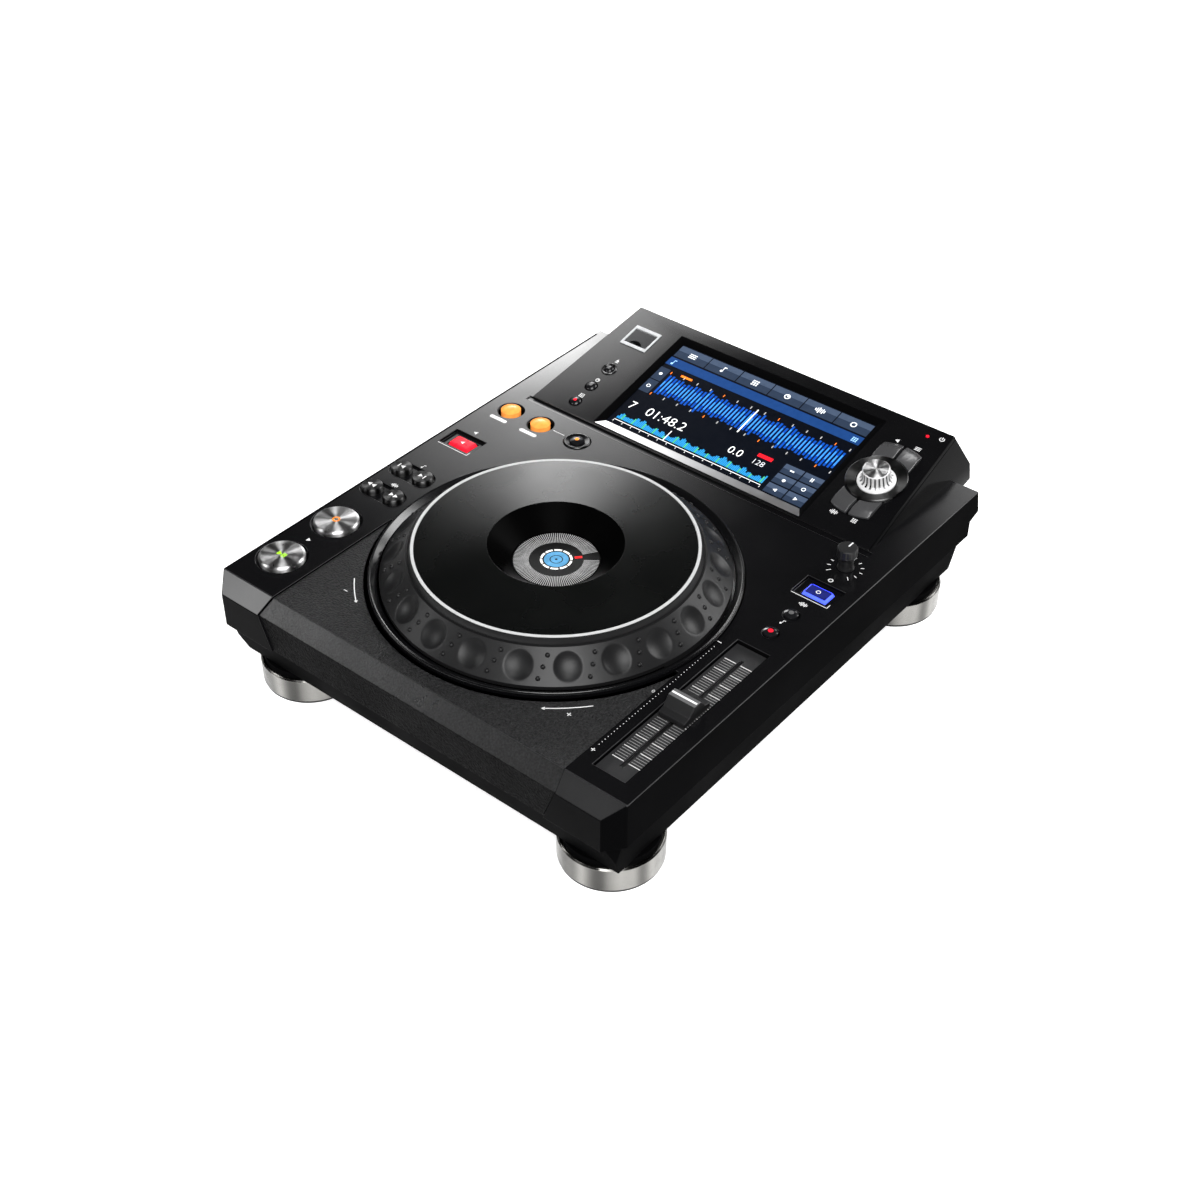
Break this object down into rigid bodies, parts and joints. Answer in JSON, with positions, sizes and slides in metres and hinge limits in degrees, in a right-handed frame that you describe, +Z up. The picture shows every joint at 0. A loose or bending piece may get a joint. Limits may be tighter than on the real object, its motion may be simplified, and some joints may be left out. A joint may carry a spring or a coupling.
{
  "type": "dj media player",
  "caption": "Table-top DJ media player with a large jog wheel, tilted touch screen, tempo fader, lit buttons and round metal feet",
  "frame": {"origin": "centre of the outline on the floor under the feet", "axes": "+X to the right of the user, +Y to the back, +Z up"},
  "size_m": [0.306, 0.39, 0.1064],
  "materials": {
    "gloss_black": "gloss moulded black",
    "satin_black": "fine satin grain",
    "grain_black": "coarse leather-like grain",
    "soft_black": "soft-touch moulding",
    "grey_plastic": "satin grey",
    "silver": "turned and brushed",
    "bright_metal": "bright plated",
    "dull_metal": "plain sheet",
    "white_light": "clear white, lit from behind",
    "orange_light": "clear amber, lit from behind",
    "red_light": "clear red, lit from behind",
    "blue_light": "clear blue, lit from behind",
    "screen": "coated glass over a lit display",
    "board": "green circuit board",
    "rubber": "matt rubber"
  },
  "bodies": {
    "player": {"upper_case": "gloss_black", "lower_case": "satin_black", "front_trim": "grain_black", "jog_surround": "gloss_black", "jog_post": "dull_metal", "jog_display": "screen", "display_housing": "satin_black", "display_panel": "gloss_black", "screen_strip": "silver", "screen_glass": "screen", "lcd_module": "dull_metal", "usb_frame": "white_light", "usb_socket": "bright_metal", "selector_ring": "gloss_black", "standby_led": "red_light", "button_rings": "gloss_black", "fader_plate": "grey_plastic", "fader_unit": "dull_metal", "control_boards": "board", "main_board": "board", "power_unit": "board", "rear_panel": "satin_black", "power_inlet": "satin_black", "audio_sockets": "bright_metal", "data_sockets": "bright_metal", "foot_hubs": "satin_black", "foot_rings": "silver", "foot_pads": "rubber", "case_screws": "dull_metal"},
    "jog": {"jog_dial": "soft_black", "jog_plate": "satin_black", "jog_ring": "white_light"},
    "play_button": {"play_button": "silver"},
    "cue_button": {"cue_button": "silver"},
    "track_back": {"track_back": "grey_plastic"},
    "track_next": {"track_next": "grey_plastic"},
    "search_back": {"search_back": "grey_plastic"},
    "search_next": {"search_next": "grey_plastic"},
    "direction_button": {"direction_button": "red_light"},
    "loop_in": {"loop_in": "orange_light"},
    "loop_out": {"loop_out": "orange_light"},
    "reloop_button": {"reloop_button": "grey_plastic"},
    "jog_mode_button": {"jog_mode_button": "blue_light"},
    "tempo_range": {"tempo_range": "grey_plastic"},
    "master_tempo": {"master_tempo": "grey_plastic"},
    "usb_stop": {"usb_stop": "grey_plastic"},
    "time_mode": {"time_mode": "grey_plastic"},
    "quantize_button": {"quantize_button": "grey_plastic"},
    "back_button": {"back_button": "grey_plastic"},
    "tag_button": {"tag_button": "grey_plastic"},
    "filter_button": {"filter_button": "grey_plastic"},
    "shortcut_button": {"shortcut_button": "grey_plastic"},
    "selector_shaft": {"selector_shaft": "bright_metal"},
    "selector_knob": {"selector_knob": "bright_metal"},
    "speed_knob": {"speed_knob": "satin_black"},
    "fader_cap": {"fader_cap": "grey_plastic"},
    "usb_lid": {"usb_lid": "grey_plastic"},
    "power_switch": {"power_switch": "satin_black"}
  },
  "joints": [
    {"name": "jog_spin", "type": "hinge", "parent": "player", "child": "jog", "pos_m": [0, -0.06, 0.082], "axis": [0, 0, 1], "continuous": true},
    {"name": "play_button_press", "type": "slide", "parent": "player", "child": "play_button", "axis": [0, 0, -1], "range_m": [0, 0.0009], "stiffness_N_per_m": 300, "springref_m": -0.002},
    {"name": "cue_button_press", "type": "slide", "parent": "player", "child": "cue_button", "axis": [0, 0, -1], "range_m": [0, 0.0009], "stiffness_N_per_m": 300, "springref_m": -0.002},
    {"name": "track_back_press", "type": "slide", "parent": "player", "child": "track_back", "axis": [0, 0, -1], "range_m": [0, 0.0009], "stiffness_N_per_m": 300, "springref_m": -0.002},
    {"name": "track_next_press", "type": "slide", "parent": "player", "child": "track_next", "axis": [0, 0, -1], "range_m": [0, 0.0009], "stiffness_N_per_m": 300, "springref_m": -0.002},
    {"name": "search_back_press", "type": "slide", "parent": "player", "child": "search_back", "axis": [0, 0, -1], "range_m": [0, 0.0009], "stiffness_N_per_m": 300, "springref_m": -0.002},
    {"name": "search_next_press", "type": "slide", "parent": "player", "child": "search_next", "axis": [0, 0, -1], "range_m": [0, 0.0009], "stiffness_N_per_m": 300, "springref_m": -0.002},
    {"name": "direction_button_press", "type": "slide", "parent": "player", "child": "direction_button", "axis": [0, 0, -1], "range_m": [0, 0.0009], "stiffness_N_per_m": 300, "springref_m": -0.002},
    {"name": "loop_in_press", "type": "slide", "parent": "player", "child": "loop_in", "axis": [0, 0, -1], "range_m": [0, 0.0009], "stiffness_N_per_m": 300, "springref_m": -0.002},
    {"name": "loop_out_press", "type": "slide", "parent": "player", "child": "loop_out", "axis": [0, 0, -1], "range_m": [0, 0.0009], "stiffness_N_per_m": 300, "springref_m": -0.002},
    {"name": "reloop_button_press", "type": "slide", "parent": "player", "child": "reloop_button", "axis": [0, 0, -1], "range_m": [0, 0.0009], "stiffness_N_per_m": 300, "springref_m": -0.002},
    {"name": "jog_mode_button_press", "type": "slide", "parent": "player", "child": "jog_mode_button", "axis": [0, 0, -1], "range_m": [0, 0.0009], "stiffness_N_per_m": 300, "springref_m": -0.002},
    {"name": "tempo_range_press", "type": "slide", "parent": "player", "child": "tempo_range", "axis": [0, 0, -1], "range_m": [0, 0.0009], "stiffness_N_per_m": 300, "springref_m": -0.002},
    {"name": "master_tempo_press", "type": "slide", "parent": "player", "child": "master_tempo", "axis": [0, 0, -1], "range_m": [0, 0.0009], "stiffness_N_per_m": 300, "springref_m": -0.002},
    {"name": "usb_stop_press", "type": "slide", "parent": "player", "child": "usb_stop", "axis": [0, 0.213, -0.977], "range_m": [0, 0.0008], "stiffness_N_per_m": 300, "springref_m": -0.002},
    {"name": "time_mode_press", "type": "slide", "parent": "player", "child": "time_mode", "axis": [0, 0.213, -0.977], "range_m": [0, 0.0008], "stiffness_N_per_m": 300, "springref_m": -0.002},
    {"name": "quantize_button_press", "type": "slide", "parent": "player", "child": "quantize_button", "axis": [0, 0.213, -0.977], "range_m": [0, 0.0008], "stiffness_N_per_m": 300, "springref_m": -0.002},
    {"name": "back_button_press", "type": "slide", "parent": "player", "child": "back_button", "axis": [0, 0.213, -0.977], "range_m": [0, 0.0008], "stiffness_N_per_m": 300, "springref_m": -0.002},
    {"name": "tag_button_press", "type": "slide", "parent": "player", "child": "tag_button", "axis": [0, 0.213, -0.977], "range_m": [0, 0.0008], "stiffness_N_per_m": 300, "springref_m": -0.002},
    {"name": "filter_button_press", "type": "slide", "parent": "player", "child": "filter_button", "axis": [0, 0.213, -0.977], "range_m": [0, 0.0008], "stiffness_N_per_m": 300, "springref_m": -0.002},
    {"name": "shortcut_button_press", "type": "slide", "parent": "player", "child": "shortcut_button", "axis": [0, 0.213, -0.977], "range_m": [0, 0.0008], "stiffness_N_per_m": 300, "springref_m": -0.002},
    {"name": "selector_press", "type": "slide", "parent": "player", "child": "selector_shaft", "axis": [0, 0.213, -0.977], "range_m": [0, 0.0006], "stiffness_N_per_m": 800, "springref_m": -0.002},
    {"name": "selector_turn", "type": "hinge", "parent": "selector_shaft", "child": "selector_knob", "pos_m": [0.1048, 0.12311, 0.09408], "axis": [0, -0.213, 0.977], "continuous": true},
    {"name": "speed_turn", "type": "hinge", "parent": "player", "child": "speed_knob", "pos_m": [0.1308, 0.0506, 0.082], "axis": [0, 0, 1], "range_deg": [-140, 140]},
    {"name": "tempo_slide", "type": "slide", "parent": "player", "child": "fader_cap", "axis": [0, 1, 0], "range_m": [-0.05, 0.05]},
    {"name": "usb_lid_open", "type": "hinge", "parent": "player", "child": "usb_lid", "pos_m": [-0.1047, 0.15888, 0.10157], "axis": [-1, 0, 0], "range_deg": [0, 90]},
    {"name": "power_press", "type": "slide", "parent": "player", "child": "power_switch", "axis": [0, -1, 0], "range_m": [0, 0.0025], "stiffness_N_per_m": 500, "springref_m": -0.002}
  ]
}
